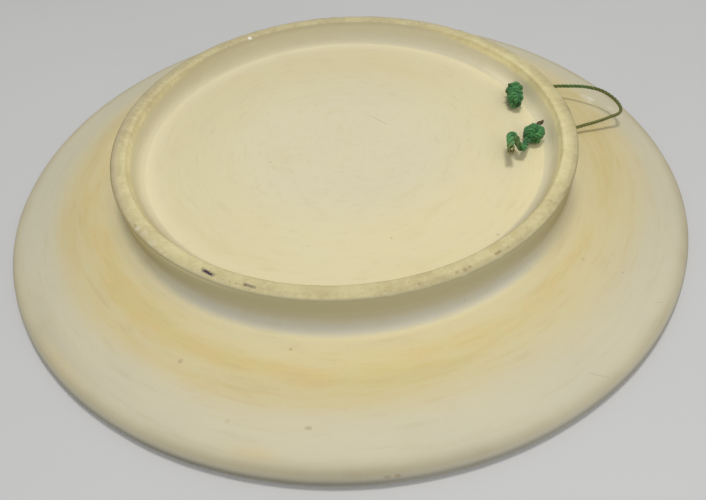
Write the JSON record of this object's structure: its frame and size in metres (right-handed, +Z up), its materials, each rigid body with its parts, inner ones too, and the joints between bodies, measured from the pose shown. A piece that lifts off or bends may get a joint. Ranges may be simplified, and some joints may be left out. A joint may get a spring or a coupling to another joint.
{
  "type": "decorative wall plate",
  "caption": "Round unglazed ceramic wall plate lying face down, with a sloping flange, a tall foot ring and a thin knotted hanging cord looped through holes pierced in the ring.",
  "frame": {"origin": "on the plate's axis, at the surface its rim lies on", "axes": "+Z up along the plate's axis, out of its back; +X towards the hanging loop, 11.5 degrees from the loop's middle; the face looks down, -Z"},
  "size_m": [0.4, 0.4, 0.0459],
  "materials": {
    "biscuit": "matt, unglazed",
    "cord": "matt twisted cord"
  },
  "bodies": {
    "root": {"plate": "biscuit", "hanging_cord": "cord", "cord_knot_upper": "cord", "cord_knot_lower": "cord", "cord_tail": "cord"}
  },
  "joints": []
}
